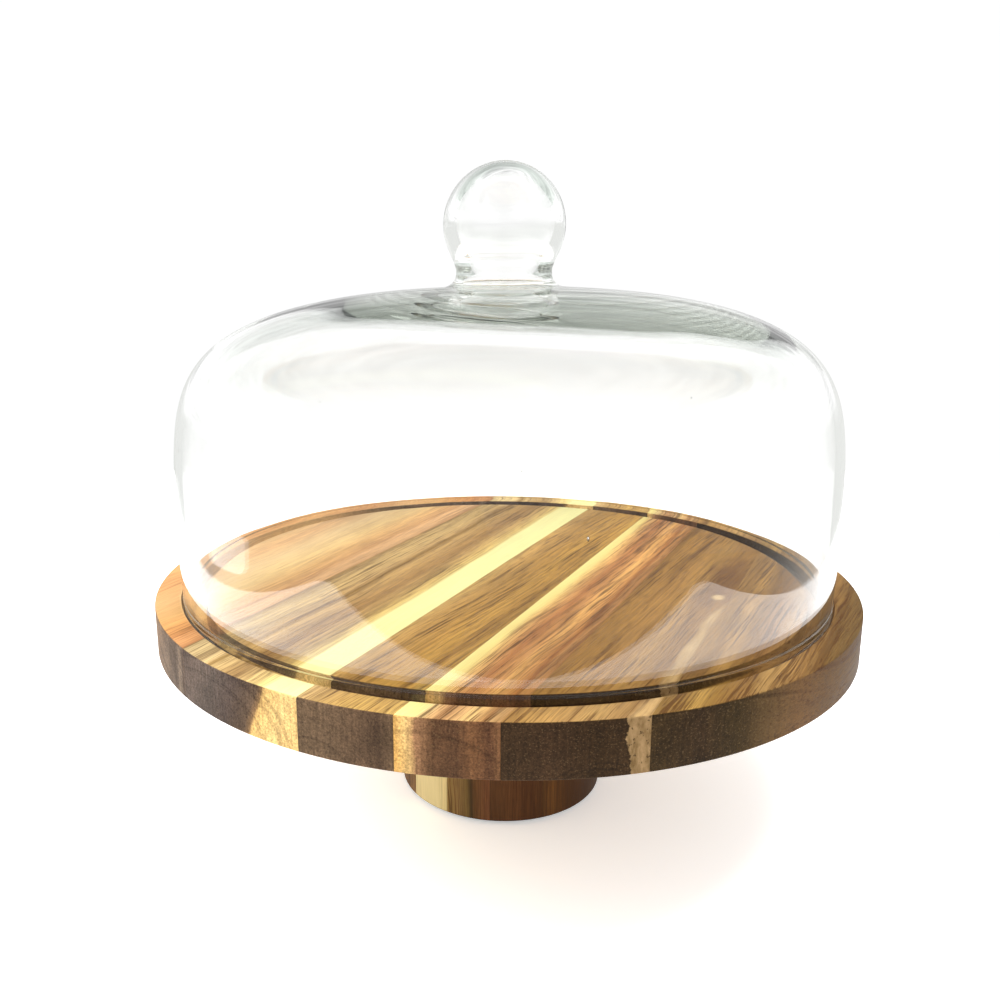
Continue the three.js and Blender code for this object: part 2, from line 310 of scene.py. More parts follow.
def acacia(name, low, high, face, end, seed, grain_axis="Y", top=0.0, slant=0.0, ring_centre=(0.0, -0.06),
           lines=0.5, tilt=0.0, bark=None, swirl=None, rim=None):
    """Oiled acacia. face and end are colours across the piece (X in mm) on long grain and on end grain.

    The same wobbling cross-section runs through the whole piece, so the streaks on the face meet those
    on the edge. slant leans that cross-section with depth below top; tilt turns the fine grain off the axis.
    rim multiplies the top face's colour outside the groove: painted light and shade for the ring that lies
    outside the dome's glass.
    """
    made, g = material(name)
    place = g.node("ShaderNodeTexCoord").outputs["Object"]
    split = g.node("ShaderNodeSeparateXYZ", {"Vector": place})
    x = split.outputs["X"]
    along, depth = (split.outputs["Y"], split.outputs["Z"]) if grain_axis == "Y" else (
        split.outputs["Z"], split.outputs["Y"])
    local = g.xyz(x, along, depth)
    shift = (seed * 1.7, seed * 0.61, seed * 2.3)

    # the cross-section wanders slowly along the grain
    wander = g.noise(g.scaled(local, (14, 5.5, 14), shift), detail=2)
    ripple = g.noise(g.scaled(local, (90, 24, 90), shift), detail=2)
    offset = g.math("ADD", g.remap(wander, 0.25, 0.75, -2.6 * MM, 2.6 * MM),
                    g.remap(ripple, 0.2, 0.8, -0.6 * MM, 0.6 * MM))
    below = g.math("SUBTRACT", top, depth)
    across = g.math("ADD", g.math("ADD", x, g.math("MULTIPLY", below, slant)), offset)
    factor = g.remap(across, low, high)

    normal = g.node("ShaderNodeNewGeometry").outputs["Normal"]
    normal = g.node("ShaderNodeSeparateXYZ", {"Vector": normal}).outputs
    facing = normal["Y" if grain_axis == "Y" else "Z"]
    end_face = g.remap(g.math("ABSOLUTE", facing), 0.3, 0.62, smooth=True)

    face_color = g.ramp(factor, stops_between(face, low, high, FACE_GAIN))
    end_color = g.ramp(factor, stops_between(end, low, high, END_GAIN))

    # growth rings lie round a pith below the piece, and run out along the grain
    skew = g.math("ADD", across, g.math("MULTIPLY", along, tilt))
    rx = g.math("SUBTRACT", skew, low + ring_centre[0])
    rz = g.math("SUBTRACT", depth, top + ring_centre[1])
    radius = g.hypot(rx, rz)
    ring_place = g.xyz(g.math("MULTIPLY", radius, 330.0), g.math("MULTIPLY", along, 5.0), seed)
    rings = g.noise(ring_place, detail=3, roughness=0.6, distortion=0.15)
    ring_line = g.remap(rings, 0.53, 0.66, smooth=True)
    broad_place = g.xyz(g.math("MULTIPLY", radius, 110.0), g.math("MULTIPLY", along, 3.5), seed + 5.0)
    broad = g.noise(broad_place, detail=2)

    # fine figure: dark fibre lines in clusters, open pores, and the fibre itself
    fine = g.xyz(g.math("ADD", skew, g.math("MULTIPLY", along, tilt)), along, depth)
    cluster = g.remap(g.noise(g.scaled(fine, (55, 14, 55), shift), detail=2, distortion=0.4), 0.38, 0.66)
    thread = g.noise(g.scaled(fine, (900, 17, 900), shift), detail=2, roughness=0.65)
    thread = g.math("MULTIPLY", g.remap(thread, 0.56, 0.63, smooth=True), g.math("ADD", cluster, 0.22))
    hair = g.noise(g.scaled(fine, (1700, 30, 1700), shift), detail=1, roughness=0.6)
    hair = g.math("MULTIPLY", g.remap(hair, 0.56, 0.66, smooth=True), g.math("ADD", cluster, 0.4))
    pores = g.remap(g.noise(g.scaled(fine, (1900, 130, 1900), shift), detail=1), 0.57, 0.68, smooth=True)
    fibre = g.noise(g.scaled(fine, (2100, 55, 2100), shift), detail=2, roughness=0.7)
    figure = g.noise(g.scaled(local, (42, 16, 42), shift), detail=3, distortion=0.7)

    shade = g.remap(fibre, 0.34, 0.66, 0.78, 1.22)
    shade = g.math("MULTIPLY", shade, g.remap(figure, 0.3, 0.7, 0.9, 1.1))
    shade = g.math("MULTIPLY", shade, g.remap(broad, 0.3, 0.7, 1.16, 0.84))

    # sapwood is plain: lines and pores fade where the colour is pale
    luminance = g.node("ShaderNodeRGBToBW", {"Color": face_color}).outputs[0]
    heart = g.remap(luminance, 0.3, 0.48, 1.0, 0.07)
    amount = g.math("MULTIPLY", heart, lines)
    dark = g.math("ADD", g.math("MULTIPLY", ring_line, 0.5), g.math("MULTIPLY", thread, 0.95), clamp=True)
    dark = g.math("ADD", dark, g.math("MULTIPLY", hair, 0.6), clamp=True)
    dark = g.math("ADD", dark, g.math("MULTIPLY", pores, 0.35), clamp=True)
    calm = g.remap(shade, 0.0, 2.0, 0.75, 1.25)
    shade = g.mix(g.remap(luminance, 0.34, 0.5), g.grey(shade), g.grey(calm))
    face_color = g.mix(1.0, face_color, shade, "MULTIPLY")
    face_color = g.mix(g.math("MULTIPLY", dark, amount), face_color, srgb("3f2410"))

    # end grain: cut vessels, cloudy patches, faint rings and sanding marks
    speck = g.noise(g.scaled(local, (1300, 1300, 1300), shift), detail=3, roughness=0.75)
    vessel = g.remap(g.noise(g.scaled(local, (1900, 500, 1900), shift), detail=1), 0.6, 0.7, smooth=True)
    cloud = g.noise(g.scaled(local, (48, 30, 60), shift), detail=4, roughness=0.6, distortion=0.8)
    ray = g.noise(g.node("ShaderNodeMapping", {"Vector": local, "Rotation": (0, 0.35, 0),
                                               "Scale": (1100, 200, 55)}).outputs[0], detail=2)
    end_shade = g.math("MULTIPLY", g.remap(cloud, 0.3, 0.7, 0.72, 1.26), g.remap(speck, 0.3, 0.7, 0.5, 1.5))
    end_shade = g.math("MULTIPLY", end_shade, g.remap(ray, 0.3, 0.7, 0.82, 1.18))
    end_shade = g.math("MULTIPLY", end_shade, g.remap(ring_line, 0.0, 1.0, 1.08, 0.78))
    end_color = g.mix(1.0, end_color, g.grey(end_shade), "MULTIPLY")
    end_color = g.mix(g.math("MULTIPLY", vessel, 0.1), end_color, srgb("a98a60"))

    # painted light and shade: the top face outside the dome's groove is recoloured as if lit without the
    # glass over it
    if rim:
        outside = g.remap(g.hypot(x, along), GROOVE_OUTER - MM, GROOVE_OUTER + MM)
        outside = g.math("MULTIPLY", outside, g.remap(normal["Z"], 0.3, 0.7))
        if rim[0] > 1:  # only heartwood gets the painted light
            outside = g.math("MULTIPLY", outside, heart)
        face_color = g.mix(outside, face_color, g.mix(1.0, face_color, rim, "MULTIPLY"))
    if swirl:
        face_color = add_swirl(g, face_color, x, along, swirl)
    if bark:
        face_color, end_color = add_bark(g, face_color, end_color, x, along, local, bark)
    color = g.mix(end_face, face_color, end_color)

    rough = g.remap(fibre, 0.2, 0.8, 0.46, 0.66)
    rough = g.math("ADD", rough, g.math("MULTIPLY", end_face, 0.15))
    grain_height = g.math("SUBTRACT", g.math("MULTIPLY", fibre, 0.6), g.math("MULTIPLY", pores, 0.8))
    grain_height = g.math("MULTIPLY", grain_height, g.math("SUBTRACT", 1.0, end_face))
    end_height = g.math("MULTIPLY", g.math("ADD", speck, ray), end_face)
    bump = g.bump(grain_height, 0.1 * MM, 0.7)
    bump = g.bump(end_height, 0.22 * MM, 0.8, bump)
    shader = g.node("ShaderNodeBsdfPrincipled", {"Base Color": color, "Roughness": rough, "Normal": bump,
                                                 "IOR": 1.45, "Specular IOR Level": 0.1})
    finish_surface(g, shader.outputs[0])
    return made


def add_swirl(g, color, x, along, swirl):
    """A soft dark cloud on the face, as over a buried knot."""
    (cx, cy), (wx, wy), strength = swirl
    dx = g.math("DIVIDE", g.math("SUBTRACT", x, cx * MM), wx * MM)
    dy = g.math("DIVIDE", g.math("SUBTRACT", along, cy * MM), wy * MM)
    warp_place = g.xyz(g.math("MULTIPLY", x, 90.0), g.math("MULTIPLY", along, 30.0), 3.0)
    warp = g.noise(warp_place, detail=3, distortion=1.2)
    away = g.math("ADD", g.hypot(dx, dy), g.remap(warp, 0.25, 0.75, -0.45, 0.45))
    return g.mix(g.math("MULTIPLY", g.remap(away, 1.0, 0.2, smooth=True), strength), color, srgb("4d2f22"))


def add_bark(g, face_color, end_color, x, along, local, bark):
    """A pale streak of inner bark by a glue line: soft on the face, ragged and pitted on the end grain."""
    edge, width, start, finish = [v * MM for v in bark]
    ragged = g.noise(g.scaled(local, (260, 60, 300)), detail=4, roughness=0.7)
    grow = g.remap(along, start, finish, 0.0, width, smooth=True)
    wander = g.remap(g.noise(g.scaled(local, (60, 45, 60)), detail=2), 0.3, 0.7, -1.3 * MM, 1.3 * MM)
    wander = g.math("ADD", wander, g.remap(ragged, 0.3, 0.7, -0.7 * MM, 0.7 * MM))
    left = g.math("ADD", g.math("SUBTRACT", edge, grow), wander)
    inside = g.math("SUBTRACT", x, left)
    present = g.remap(grow, 0.0, 1.2 * MM)
    streak = g.math("MULTIPLY", g.remap(inside, -0.9 * MM, 1.5 * MM, smooth=True), present)
    fade = g.remap(g.math("SUBTRACT", edge, x), 0.2 * MM, 1.6 * MM, 0.35, 1.0, smooth=True)
    streak = g.math("MULTIPLY", g.math("MULTIPLY", streak, fade), g.remap(ragged, 0.35, 0.65, 0.3, 0.65))
    spot_x = g.math("DIVIDE", g.math("SUBTRACT", x, edge - 5.2 * MM), 3.2 * MM)
    spot_y = g.math("DIVIDE", g.math("SUBTRACT", along, start), 4.5 * MM)
    spot = g.math("MULTIPLY", g.remap(g.hypot(spot_x, spot_y), 1.1, 0.3, smooth=True), 0.75)
    pale = [FACE_GAIN * c for c in srgb("e2bf85")]
    face_color = g.mix(g.math("MAXIMUM", streak, spot), face_color, pale)

    mask = g.math("MULTIPLY", g.remap(inside, -0.15 * MM, 0.25 * MM, smooth=True), present)
    rim = g.math("MULTIPLY", g.remap(inside, -1.1 * MM, 0.0, smooth=True), g.math("SUBTRACT", 1.0, mask))
    pits = g.noise(g.scaled(local, (900, 400, 700)), detail=3, roughness=0.7)
    pits = g.remap(pits, 0.58, 0.66, smooth=True)
    flake = g.noise(g.scaled(local, (500, 200, 160)), detail=3, roughness=0.7)
    dark, light, deep = [[END_GAIN * c for c in srgb(code)] for code in ("7d623c", "b8966a", "3a2917")]
    tan = g.ramp(flake, [(0.3, dark), (0.7, light)])
    bark_end = g.mix(g.math("MULTIPLY", pits, 0.8), tan, deep)
    end_color = g.mix(g.math("MULTIPLY", g.math("MULTIPLY", rim, present), 0.55), end_color, srgb("241809"))
    end_color = g.mix(mask, end_color, bark_end)
    return face_color, end_color


# rim: painted light and shade on each stave's top face outside the dome
STAVE_LOOKS = [
    dict(face=[(-152, "ecb87a"), (-138, "f3c98c"), (-122, "f0bf87"), (-108, "f3cf97"), (-94, "f3cd8c"),
               (-84, "edbb79"), (-76, "d8a46c"), (-73, "e5b47d"), (-68, "deaf7a"), (-65, "cb9b6b")],
         end=[(-152, "967d53"), (-113, "987e5e"), (-98, "876d57"), (-81, "796655"), (-72, "5c4d42"),
              (-68, "7f6d5c"), (-65, "5b4b40")],
         lines=0.42, ring_centre=(0.03, -0.09), rim=(0.85, 0.7, 0.6)),
    dict(face=[(-65, "b18d56"), (-62, "cfad71"), (-54, "dab676"), (-49, "cba469"), (-46.6, "926e38"),
               (-44, "c9a264"), (-36, "b68d53"), (-33, "a7804c"), (-28, "cba363"), (-22, "e5c173"),
               (-19.6, "ecd183"), (-18.6, "fff3aa"), (-3.6, "fff8ac")],
         end=[(-65, "5b4c42"), (-52, "67584e"), (-42, "584c44"), (-32, "584941"), (-22, "675240"),
              (-19.6, "8e6d4a"), (-18.4, "eabd75"), (-8, "f6ce88"), (-3.6, "efc47f")],
         slant=0.42, lines=0.72, ring_centre=(0.02, -0.05), rim=(1.3, 1.45, 1.75)),
    dict(face=[(-3.6, "c9a25e"), (0, "c69a56"), (5, "b28847"), (12, "b78a43"), (18, "be9145"),
               (24, "b3863f"), (30.6, "c19548")],
         end=[(-3.6, "69543f"), (8, "715a44"), (20, "67503c"), (26, "503d2e"), (30.6, "67513c")],
         lines=0.85, tilt=-0.03, ring_centre=(0.01, -0.03), rim=(1.22, 1.38, 1.95)),
    dict(face=[(30.6, "fcea96"), (34.6, "fae08b"), (37, "ebbd72"), (40, "d39b5c"), (43.5, "b67945"),
               (46, "bd844c"), (49, "d69a5a"), (51.5, "edb366"), (55, "d99b57"), (57.5, "a66a36"),
               (59, "cc9355"), (62.2, "b67e45")],
         end=[(30.6, "dba85e"), (34.4, "e4bb78"), (37, "9b7250"), (42, "64462f"), (49, "5e412c"),
              (54, "7b5436"), (59, "5b3c28"), (62.2, "7c5638")],
         lines=0.8, tilt=-0.03, ring_centre=(0.012, -0.04), rim=(1.1, 1.35, 1.75)),
    dict(face=[(62.2, "9a6f36"), (67, "a17639"), (72, "a87c3e"), (79, "a67b40"), (86, "ab8245"),
               (93, "9a723d"), (101.4, "926c3a")],
         end=[(62.2, "3c2b1a"), (74, "402d1c"), (88, "382715"), (101.4, "3d2b18")],
         lines=0.8, tilt=-0.035, ring_centre=(0.03, -0.03), bark=(101.4, 4.6, 6, -18),
         swirl=((96, 30), (13, 40), 0.42), rim=(1.35, 1.5, 1.95)),
    dict(face=[(101.4, "a17b47"), (106, "98723f"), (110, "bc904e"), (115, "906935"), (121, "9a703f"),
               (128, "a67e4d"), (137, "8c643a"), (144, "73532d"), (152.5, "6c502e")],
         end=[(101.4, "3e2e18"), (113, "372716"), (122, "3a2c15"), (132, "46351d"), (152.5, "4c3c25")],
         lines=0.85, tilt=-0.04, ring_centre=(0.015, -0.05), rim=(1.2, 1.3, 1.25)),
]

BLOCK_LOOKS = [
    dict(face=[(-46.6, "8a643d"), (-34, "7c5833"), (-24.4, "8b673f")], lines=0.7),
    dict(face=[(-24.4, "ecd397"), (-19, "fbe4a6"), (-11, "fbe4a6"), (-6, "e6cb8c"), (-4.8, "dcc184")],
         lines=0.5),
    dict(face=[(-4.8, "a48247"), (2, "987546"), (6.5, "7c6236"), (8.2, "4e3a22"), (9.5, "714e2c"),
               (14.8, "7a4e30")], lines=0.7),
    dict(face=[(14.8, "664326"), (22, "704828"), (28, "603b1f"), (34.4, "56361a")], lines=0.7),
    dict(face=[(34.4, "5f3f1e"), (37, "794f23"), (41, "65401c"), (46.6, "4e3014")], lines=0.7),
]
END_DARKER = 0.45  # the pedestal's foot is end grain


# ---------------------------------------------------------------------------
# Board and pedestal
# ---------------------------------------------------------------------------
ROUND_SEGMENTS = 256
ARRIS = 0.7 * MM
BORE_GAP = 0.3 * MM
BEYOND = 10 * MM  # how far a cutting tool reaches past the wood


def board_disc():
    """The whole glued-up board: turned edge, softened arrises and the routed groove for the rim."""
    r, low, high = BOARD_RADIUS, BOARD_BOTTOM, BOARD_TOP
    floor = high - GROOVE_DEPTH
    ease, nip, corner = 0.35 * MM, 0.1 * MM, 1.2 * MM
    profile = [(0, low)]
    profile += arc((r - ARRIS, low + ARRIS), ARRIS, -90, 0, 4)
    profile += arc((r - ARRIS, high - ARRIS), ARRIS, 0, 90, 4)
    profile += [(GROOVE_OUTER + ease, high), (GROOVE_OUTER + nip, high - nip), (GROOVE_OUTER, high - ease)]
    profile += arc((GROOVE_OUTER - corner, floor + corner), corner, 0, -90, 4)
    profile += arc((GROOVE_INNER + corner, floor + corner), corner, -90, -180, 4)
    profile += [(GROOVE_INNER, high - ease), (GROOVE_INNER - nip, high - nip), (GROOVE_INNER - ease, high)]
    profile += [(0, high)]
    disc = turned("board", profile, ROUND_SEGMENTS)
    hole = bar(INSERT_BOX[1][0] + BORE_GAP, BOARD_BOTTOM - BEYOND, INSERT_BOX[1][2] + 1.7 * MM)
    boolean(disc, hole, "DIFFERENCE")
    discard(hole)
    return disc


def drill_dowels(obj):
    for name in ("dowel_pin_rear", "dowel_pin_front"):
        (x0, y0, z0), (x1, y1, z1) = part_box(name)
        hole = bar((x1 - x0) / 2 + BORE_GAP, z0 - BORE_GAP, z1 + BORE_GAP, (x0 + x1) / 2, (y0 + y1) / 2)
        boolean(obj, hole, "DIFFERENCE")
        discard(hole)


def slice_piece(name, source, low, high, is_first, is_last):
    """One stave or block: the source between two glue lines that are closed up to a hairline."""
    hairline = 0.03 * MM
    below = BEYOND if is_first else HALF_GLUE - hairline
    above = BEYOND if is_last else HALF_GLUE - hairline
    tool = slab(low - below, high + above)
    piece = source.copy()
    piece.data = source.data.copy()
    piece.name = name
    bpy.context.scene.collection.objects.link(piece)
    boolean(piece, tool, "INTERSECT")
    discard(tool)
    clean(piece.data)
    piece.data.polygons.foreach_set("use_smooth", [True] * len(piece.data.polygons))
    piece.data.set_sharp_from_angle(angle=math.radians(WOOD_SMOOTH_ANGLE))
    return piece


def make_board():
    disc = board_disc()
    drill_dowels(disc)
    for i, (node, look) in enumerate(zip(STAVES, STAVE_LOOKS)):
        low, high = stave_boxes[node][0][0], stave_boxes[node][1][0]
        stave = slice_piece(f"acacia_stave_{i + 1}", disc, low, high, i == 0, i == len(STAVES) - 1)
        wood = acacia(f"acacia_board_{i + 1}", low, high, seed=3.1 * (i + 1), top=BOARD_TOP, **look)
        dress(stave, wood, "acacia_board", "stand", node)
    discard(disc)


def darker(code):
    return "%02x%02x%02x" % tuple(int(END_DARKER * int(code[k:k + 2], 16)) for k in (0, 2, 4))


def make_pedestal():
    r, low, high = PEDESTAL_RADIUS, PEDESTAL_BOTTOM, PEDESTAL_TOP
    ease = 1 * MM
    profile = [(0, low)] + arc((r - ease, low + ease), ease, -90, 0, 4) + [(r, high), (0, high)]
    cylinder = turned("pedestal", profile, ROUND_SEGMENTS)
    bolt_bore = (BOLT_BOX[1][0] - 2 * MM, 0.2)
    counterbore = (WASHER_BOX[1][0] + 1 * MM, WASHER_BOX[1][2] + 0.3 * MM)
    for radius, end in (bolt_bore, counterbore):
        hole = bar(radius, -BEYOND, end)
        boolean(cylinder, hole, "DIFFERENCE")
        discard(hole)
    drill_dowels(cylinder)
    for i, (node, look) in enumerate(zip(BLOCKS, BLOCK_LOOKS)):
        low, high = block_boxes[node][0][0], block_boxes[node][1][0]
        block = slice_piece(f"acacia_block_{i + 1}", cylinder, low, high, i == 0, i == len(BLOCKS) - 1)
        end = [(x, darker(code)) for x, code in look["face"]]
        wood = acacia(f"acacia_pedestal_{i + 1}", low, high, end=end, seed=7.7 * (i + 1), grain_axis="Z",
                      ring_centre=(0.01, -0.09), **look)
        dress(block, wood, "acacia_pedestal", "stand", node)
    discard(cylinder)


def dress(obj, mat, slot, body, *nodes):
    """Gives a piece its material and its body and hides the CAD nodes that it stands for; slot is not used.
    """
    obj.data.materials.clear()
    obj.data.materials.append(mat)
    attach(obj, body)
    if nodes:
        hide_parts(*nodes)


# ---------------------------------------------------------------------------
# Glass
# ---------------------------------------------------------------------------
GLASS_SEGMENTS = 256
WALL_STEPS = 14
SHOULDER_STEPS = 90
WALL = 3.6 * MM
RIM_OUTER = 141.3 * MM  # the rim stands a little proud of the wall
RIM_BAND_HEIGHT = 1.3 * MM
RIM_BAND_EASE = 1.5 * MM
BEAD = 2.25 * MM
SHOULDER_START = 18 * MM  # heights from the board's top face
RIM_RADIUS = 140.9 * MM
LEAN = 0.04
BARREL = 0.65
SHOULDER_POWER = 6
CROWN_POWER = 2.27
GATHER_RADIUS = 118 * MM  # the crown thickens from the shoulder to the knob
GATHER_DROP = 6.5 * MM
GATHER_SHIFT = 20 * MM  # the thick glass sits a little to one side
FLARE_RADIUS = 22.6 * MM
NECK_RADIUS = 20.35 * MM
NECK_HEIGHT = 132.8 * MM
CAVITY_RADIUS = 20.6 * MM
CAVITY_CENTRE = 152.6 * MM
CAVITY_NECK = 15.9 * MM
CAVITY_FLARE = 19.2 * MM
CAVITY_FLOOR = 124.8 * MM
KNOB_ARC_END = -25.0


def dome_radius(height, inset):
    crown = DOME_TOP - BOARD_TOP - inset
    wall = RIM_RADIUS - inset + LEAN * height - BARREL * height * height
    rise = max(0.0, height - SHOULDER_START) / (crown - SHOULDER_START)
    return wall * max(0.0, 1 - rise ** SHOULDER_POWER) ** (1 / CROWN_POWER)


def dome_side(inset, low, wall_steps, shoulder_steps):
    """Points from the crown's centre down to a height near the rim, heights from the board's top face."""
    crown = DOME_TOP - BOARD_TOP - inset
    points = [(0.0, crown)]
    for i in range(shoulder_steps - 1, 0, -1):
        height = SHOULDER_START + (crown - SHOULDER_START) * math.sin(math.pi / 2 * i / shoulder_steps)
        points.append((dome_radius(height, inset), height))
    for i in range(wall_steps, -1, -1):
        height = low + (SHOULDER_START - low) * i / wall_steps
        points.append((dome_radius(height, inset), height))
    return points


def knob_outside():
    centre = KNOB_TOP - BOARD_TOP - KNOB_RADIUS
    points = [(0.0, KNOB_TOP - BOARD_TOP)] + arc((0, centre), KNOB_RADIUS, 90, KNOB_ARC_END, 44)[1:]
    end = points[-1]
    a = math.radians(KNOB_ARC_END)
    k = 3.2 * MM
    neck = (NECK_RADIUS, NECK_HEIGHT)
    crown = [p for p in dome_side(0, 0.0, 2, SHOULDER_STEPS) if p[0] > FLARE_RADIUS][0]
    leaving = (end[0] + k * math.sin(a), end[1] - k * math.cos(a))
    points += bezier(end, leaving, (neck[0], neck[1] + 2.6 * MM), neck, 10)
    arriving = (crown[0] - 1.5 * MM, crown[1] + 0.1 * MM)
    points += bezier(neck, (neck[0], neck[1] - 4.6 * MM), arriving, crown, 16)
    return points


def lopsided(waves):
    """Adds to the inside's waves what the off-centre thickening changes."""
    sx, sy, _ = toward_camera(GATHER_SHIFT, 0)

    def shift(radius, height, angle):
        x, y = radius * math.cos(angle), radius * math.sin(angle)
        out, up = waves(radius, height, angle)
        if height < BOARD_TOP + 70 * MM:
            return out, up
        return out, up - gather(math.hypot(x - sx, y - sy)) + gather(radius)
    return shift


def gather(radius):
    if radius >= GATHER_RADIUS:
        return 0.0
    return GATHER_DROP * (1 + math.cos(math.pi * radius / GATHER_RADIUS)) / 2


def uneven(amplitude, size, seed):
    """Slow waves left by hand forming, strongest on the crown."""
    def shift(radius, height, angle):
        place = Vector((radius * math.cos(angle), radius * math.sin(angle), height)) / size
        crown = min(1.0, max(0.0, (height - BOARD_TOP - 85 * MM) / (30 * MM)))
        value = noise.noise(place + Vector((seed, 0, 0))) * amplitude * (0.12 + 0.88 * crown)
        flat = min(1.0, radius / (140 * MM)) if height < DOME_TOP else 1.0
        return value * flat, value * (1 - flat * 0.6)
    return shift


def rim_band():
    """The thicker rim: an eased shoulder, a short upright band and a rounded lower edge."""
    wall = dome_radius(RIM_BAND_HEIGHT + RIM_BAND_EASE, 0)
    proud = RIM_OUTER - wall
    turns = [math.pi / 2 * k for k in (0.2, 0.4, 0.6, 0.8, 1.0)]
    points = [(wall + proud * math.sin(t), RIM_BAND_HEIGHT + RIM_BAND_EASE * math.cos(t)) for t in turns]
    centre = (RIM_OUTER - BEAD, RIM_BOTTOM - BOARD_TOP + BEAD)
    return points + arc(centre, BEAD, 0, -205, 24)


def make_glass():
    side = dome_side(0, RIM_BAND_HEIGHT + RIM_BAND_EASE, WALL_STEPS, SHOULDER_STEPS)
    side = [p for p in side if p[0] > FLARE_RADIUS][1:]
    inside = dome_side(WALL, RIM_BOTTOM - BOARD_TOP + 2 * BEAD, WALL_STEPS, SHOULDER_STEPS)[::-1]
    inside = [(r, z - gather(r)) for r, z in inside]
    bm = bmesh.new()
    add_shell(bm, knob_outside() + side, rim_band(), inside)
    bmesh.ops.recalc_face_normals(bm, faces=bm.faces)
    add_cavity(bm)
    add_seeds(bm)
    dome = mesh_object("glass_dome", bm, 60)
    dome.visible_shadow = False
    dress(dome, glass_material(), "dome_glass", "dome", "dome_shell", "dome_knob")


def add_shell(bm, outer, rim, inside):
    """One closed skin: outside, rim, inside, uneven on both walls as hand-formed glass is."""
    waves_out = uneven(0.12 * MM, 0.05, 1.3)
    waves_in = lopsided(uneven(0.26 * MM, 0.034, 8.1))
    profile = [(p, waves_out) for p in outer] + [(p, None) for p in rim] + [(p, waves_in) for p in inside]
    rings = []
    for (radius, height), waves in profile:
        height += BOARD_TOP
        if radius < ON_AXIS:
            rings.append([bm.verts.new((0, 0, height))])
            continue
        ring = []
        for i in range(GLASS_SEGMENTS):
            angle = 2 * math.pi * i / GLASS_SEGMENTS
            move = waves(radius, height, angle) if waves else (0, 0)
            fade = min(1.0, radius / (30 * MM))
            r = radius + move[0] * fade
            ring.append(bm.verts.new((r * math.cos(angle), r * math.sin(angle), height + move[1] * fade)))
        rings.append(ring)
    join_rings(bm, rings, GLASS_SEGMENTS)


def add_cavity(bm):
    """The bubble inside the knob, as a closed skin that faces inwards."""
    neck_angle = -math.degrees(math.acos(CAVITY_NECK / CAVITY_RADIUS))
    ball = arc((0, CAVITY_CENTRE), CAVITY_RADIUS, 90, neck_angle, 40)
    start = ball[-1]
    low = (CAVITY_FLARE, CAVITY_FLOOR + 1.6 * MM)
    inner = (low[0] - 1.6 * MM, CAVITY_FLOOR)
    profile = [(0.0, CAVITY_CENTRE + CAVITY_RADIUS)] + ball[1:]
    profile += bezier(start, (start[0] - 1.6 * MM, start[1] - 3.5 * MM),
                      (low[0] - 2.2 * MM, low[1] + 4 * MM), low, 14)
    profile += bezier(low, (low[0] + 0.3 * MM, low[1] - 0.9 * MM),
                      (inner[0] + 0.9 * MM, CAVITY_FLOOR), inner, 8)
    profile += [(inner[0] * k, CAVITY_FLOOR + 0.4 * MM * (1 - k * k)) for k in (0.75, 0.5, 0.25)]
    profile += [(0.0, CAVITY_FLOOR + 0.4 * MM)]
    waves = uneven(0.35 * MM, 0.015, 4.4)
    before = len(bm.faces)
    revolve(bm, [(r, z + BOARD_TOP) for r, z in profile], GLASS_SEGMENTS, waves)
    bm.faces.ensure_lookup_table()
    face_inwards(bm, bm.faces[before:])


def face_inwards(bm, faces):
    """Makes a closed set of faces point at its own middle: a hollow in the glass."""
    bmesh.ops.recalc_face_normals(bm, faces=faces)
    bmesh.ops.reverse_faces(bm, faces=faces)


def add_seeds(bm):
    """A few tiny bubbles in the wall, as blown glass has."""
    draw = random.Random(11)
    for _ in range(16):
        height = draw.uniform(10, 118) * MM
        angle = draw.uniform(0, 2 * math.pi)
        outer, inner = dome_radius(height, 0), dome_radius(height, WALL)
        radius = inner + (outer - inner) * draw.uniform(0.4, 0.6)
        size = draw.uniform(0.18, 0.42) * MM
        before = len(bm.faces)
        made = bmesh.ops.create_icosphere(bm, subdivisions=2, radius=size)
        stretch = draw.uniform(1.0, 2.2)
        for v in made["verts"]:
            v.co.z *= stretch
            v.co += Vector((radius * math.cos(angle), radius * math.sin(angle), height + BOARD_TOP))
        bm.faces.ensure_lookup_table()
        face_inwards(bm, bm.faces[before:])


def glass_material():
    made, g = material("blown_glass")
    place = g.node("ShaderNodeTexCoord").outputs["Object"]
    waves = g.noise(g.scaled(place, (26, 26, 40)), detail=2, roughness=0.4, distortion=0.4)
    film = g.noise(g.scaled(place, (70, 70, 30)), detail=3)
    bump = g.bump(waves, 0.12 * MM, 0.2)
    rough = g.remap(film, 0.45, 0.75, 0.0, 0.012)
    shader = g.node("ShaderNodeBsdfPrincipled", {
        "Base Color": (1.0, 1.0, 1.0, 1), "Roughness": rough, "IOR": 1.5,
        "Transmission Weight": 1.0, "Normal": bump})
    tint = g.node("ShaderNodeVolumeAbsorption", {"Color": (0.815, 0.83, 0.808, 1), "Density": 24.0})
    finish_surface(g, shader.outputs[0], tint.outputs[0])
    return made


# ---------------------------------------------------------------------------
# Fixings and pads keep their CAD shape
# ---------------------------------------------------------------------------
def metal(name, color, roughness):
    made, g = material(name)
    place = g.node("ShaderNodeTexCoord").outputs["Object"]
    brushed = g.noise(g.scaled(place, (600, 600, 3000)), detail=3)
    stain = g.noise(g.scaled(place, (180, 180, 180)), detail=4, roughness=0.65)
    tone = g.mix(g.remap(stain, 0.35, 0.7), [0.72 * c for c in color], color)
    rough = g.remap(stain, 0.3, 0.7, roughness + 0.12, roughness)
    rough = g.math("ADD", rough, g.remap(brushed, 0.3, 0.7, -0.04, 0.06))
    shader = g.node("ShaderNodeBsdfPrincipled", {
        "Base Color": tone, "Metallic": 1.0, "Roughness": rough, "Normal": g.bump(brushed, 0.02 * MM, 0.4)})
    finish_surface(g, shader.outputs[0])
    return made


